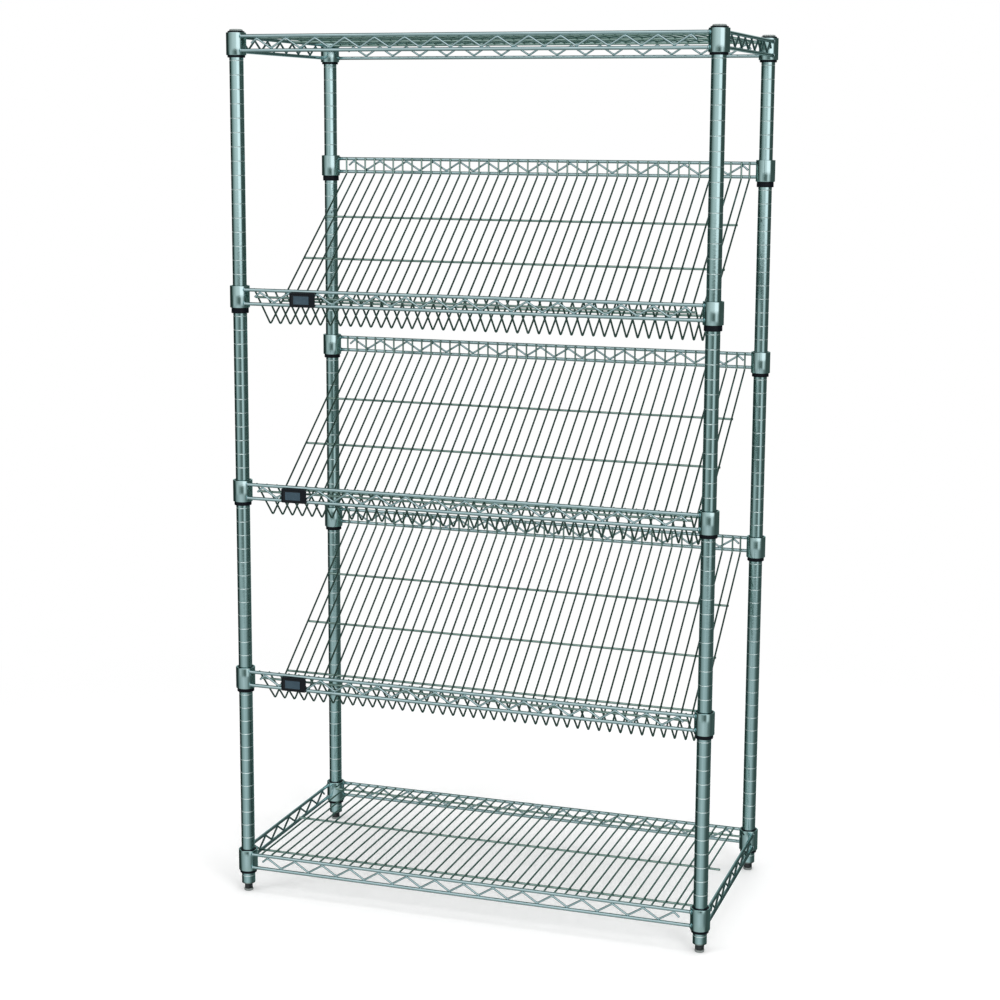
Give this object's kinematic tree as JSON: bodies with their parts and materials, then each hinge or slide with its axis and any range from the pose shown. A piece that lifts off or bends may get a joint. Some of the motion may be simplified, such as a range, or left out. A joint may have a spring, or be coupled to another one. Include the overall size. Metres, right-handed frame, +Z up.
{
  "type": "bakery bread rack",
  "caption": "Free-standing chrome wire rack on grooved posts, with a flat top and bottom shelf and slanted bread shelves with a front trough between them.",
  "frame": {"origin": "on the floor under the middle of the rack", "axes": "+Z up, +X to the rack's right as seen from its front, +Y to its back"},
  "size_m": [0.9144, 0.457, 1.6104],
  "materials": {
    "chrome_post": "bright plated tube",
    "chrome_collar": "bright plated collar",
    "chrome_wire": "bright plated wire",
    "black_plastic": "moulded, fine grain",
    "grey_plastic": "moulded",
    "dark_steel": "blackened steel",
    "zinc_insert": "zinc plated",
    "label_card": "blank slate-blue card"
  },
  "bodies": {
    "upright_frame": {"post_front_left": "chrome_post", "post_cap_front_left": "grey_plastic", "foot_insert_front_left": "zinc_insert", "post_front_right": "chrome_post", "post_cap_front_right": "grey_plastic", "foot_insert_front_right": "zinc_insert", "post_back_left": "chrome_post", "post_cap_back_left": "grey_plastic", "foot_insert_back_left": "zinc_insert", "post_back_right": "chrome_post", "post_cap_back_right": "grey_plastic", "foot_insert_back_right": "zinc_insert", "top_shelf_sleeves": "black_plastic", "upper_shelf_sleeves": "black_plastic", "middle_shelf_sleeves": "black_plastic", "lower_shelf_sleeves": "black_plastic", "bottom_shelf_sleeves": "black_plastic"},
    "top_shelf": {"top_shelf_collars": "chrome_collar", "top_shelf_rails": "chrome_wire", "top_shelf_snake_wires": "chrome_wire", "top_shelf_deck_wires": "chrome_wire", "top_shelf_cross_wires": "chrome_wire"},
    "upper_shelf": {"upper_shelf_collars": "chrome_collar", "upper_shelf_rails": "chrome_wire", "upper_shelf_snake_wires": "chrome_wire", "upper_shelf_deck_wires": "chrome_wire", "upper_shelf_cross_wires": "chrome_wire", "upper_shelf_lip_wire": "chrome_wire", "upper_shelf_label_holder": "black_plastic", "upper_shelf_label_card": "label_card"},
    "middle_shelf": {"middle_shelf_collars": "chrome_collar", "middle_shelf_rails": "chrome_wire", "middle_shelf_snake_wires": "chrome_wire", "middle_shelf_deck_wires": "chrome_wire", "middle_shelf_cross_wires": "chrome_wire", "middle_shelf_lip_wire": "chrome_wire", "middle_shelf_label_holder": "black_plastic", "middle_shelf_label_card": "label_card"},
    "lower_shelf": {"lower_shelf_collars": "chrome_collar", "lower_shelf_rails": "chrome_wire", "lower_shelf_snake_wires": "chrome_wire", "lower_shelf_deck_wires": "chrome_wire", "lower_shelf_cross_wires": "chrome_wire", "lower_shelf_lip_wire": "chrome_wire", "lower_shelf_label_holder": "black_plastic", "lower_shelf_label_card": "label_card"},
    "bottom_shelf": {"bottom_shelf_collars": "chrome_collar", "bottom_shelf_rails": "chrome_wire", "bottom_shelf_snake_wires": "chrome_wire", "bottom_shelf_deck_wires": "chrome_wire", "bottom_shelf_cross_wires": "chrome_wire"},
    "pad_front_left": {"leveller_pad_front_left": "grey_plastic"},
    "screw_front_left": {"leveller_screw_front_left": "dark_steel"},
    "pad_front_right": {"leveller_pad_front_right": "grey_plastic"},
    "screw_front_right": {"leveller_screw_front_right": "dark_steel"},
    "pad_back_left": {"leveller_pad_back_left": "grey_plastic"},
    "screw_back_left": {"leveller_screw_back_left": "dark_steel"},
    "pad_back_right": {"leveller_pad_back_right": "grey_plastic"},
    "screw_back_right": {"leveller_screw_back_right": "dark_steel"}
  },
  "joints": [
    {"name": "top_shelf_lift", "type": "slide", "parent": "upright_frame", "child": "top_shelf", "axis": [0, 0, 1], "range_m": [0, 0.04]},
    {"name": "upper_shelf_lift", "type": "slide", "parent": "upright_frame", "child": "upper_shelf", "axis": [0, 0, 1], "range_m": [0, 0.17]},
    {"name": "middle_shelf_lift", "type": "slide", "parent": "upright_frame", "child": "middle_shelf", "axis": [0, 0, 1], "range_m": [0, 0.3]},
    {"name": "lower_shelf_lift", "type": "slide", "parent": "upright_frame", "child": "lower_shelf", "axis": [0, 0, 1], "range_m": [0, 0.3]},
    {"name": "bottom_shelf_lift", "type": "slide", "parent": "upright_frame", "child": "bottom_shelf", "axis": [0, 0, 1], "range_m": [0, 0.28]},
    {"name": "leveller_travel_front_left", "type": "slide", "parent": "upright_frame", "child": "pad_front_left", "axis": [0, 0, -1], "range_m": [0, 0.0254]},
    {"name": "leveller_turn_front_left", "type": "hinge", "parent": "pad_front_left", "child": "screw_front_left", "pos_m": [-0.4392, -0.2106, 0], "axis": [0, 0, -1], "range_deg": [0, 5762]},
    {"name": "leveller_travel_front_right", "type": "slide", "parent": "upright_frame", "child": "pad_front_right", "axis": [0, 0, -1], "range_m": [0, 0.0254]},
    {"name": "leveller_turn_front_right", "type": "hinge", "parent": "pad_front_right", "child": "screw_front_right", "pos_m": [0.4392, -0.2106, 0], "axis": [0, 0, -1], "range_deg": [0, 5762]},
    {"name": "leveller_travel_back_left", "type": "slide", "parent": "upright_frame", "child": "pad_back_left", "axis": [0, 0, -1], "range_m": [0, 0.0254]},
    {"name": "leveller_turn_back_left", "type": "hinge", "parent": "pad_back_left", "child": "screw_back_left", "pos_m": [-0.4392, 0.2106, 0], "axis": [0, 0, -1], "range_deg": [0, 5762]},
    {"name": "leveller_travel_back_right", "type": "slide", "parent": "upright_frame", "child": "pad_back_right", "axis": [0, 0, -1], "range_m": [0, 0.0254]},
    {"name": "leveller_turn_back_right", "type": "hinge", "parent": "pad_back_right", "child": "screw_back_right", "pos_m": [0.4392, 0.2106, 0], "axis": [0, 0, -1], "range_deg": [0, 5762]}
  ],
  "couplings": [
    {"joint": "leveller_turn_front_left", "follows": "leveller_travel_front_left", "rad_per_m": 3957.9},
    {"joint": "leveller_turn_front_right", "follows": "leveller_travel_front_right", "rad_per_m": 3957.9},
    {"joint": "leveller_turn_back_left", "follows": "leveller_travel_back_left", "rad_per_m": 3957.9},
    {"joint": "leveller_turn_back_right", "follows": "leveller_travel_back_right", "rad_per_m": 3957.9}
  ]
}
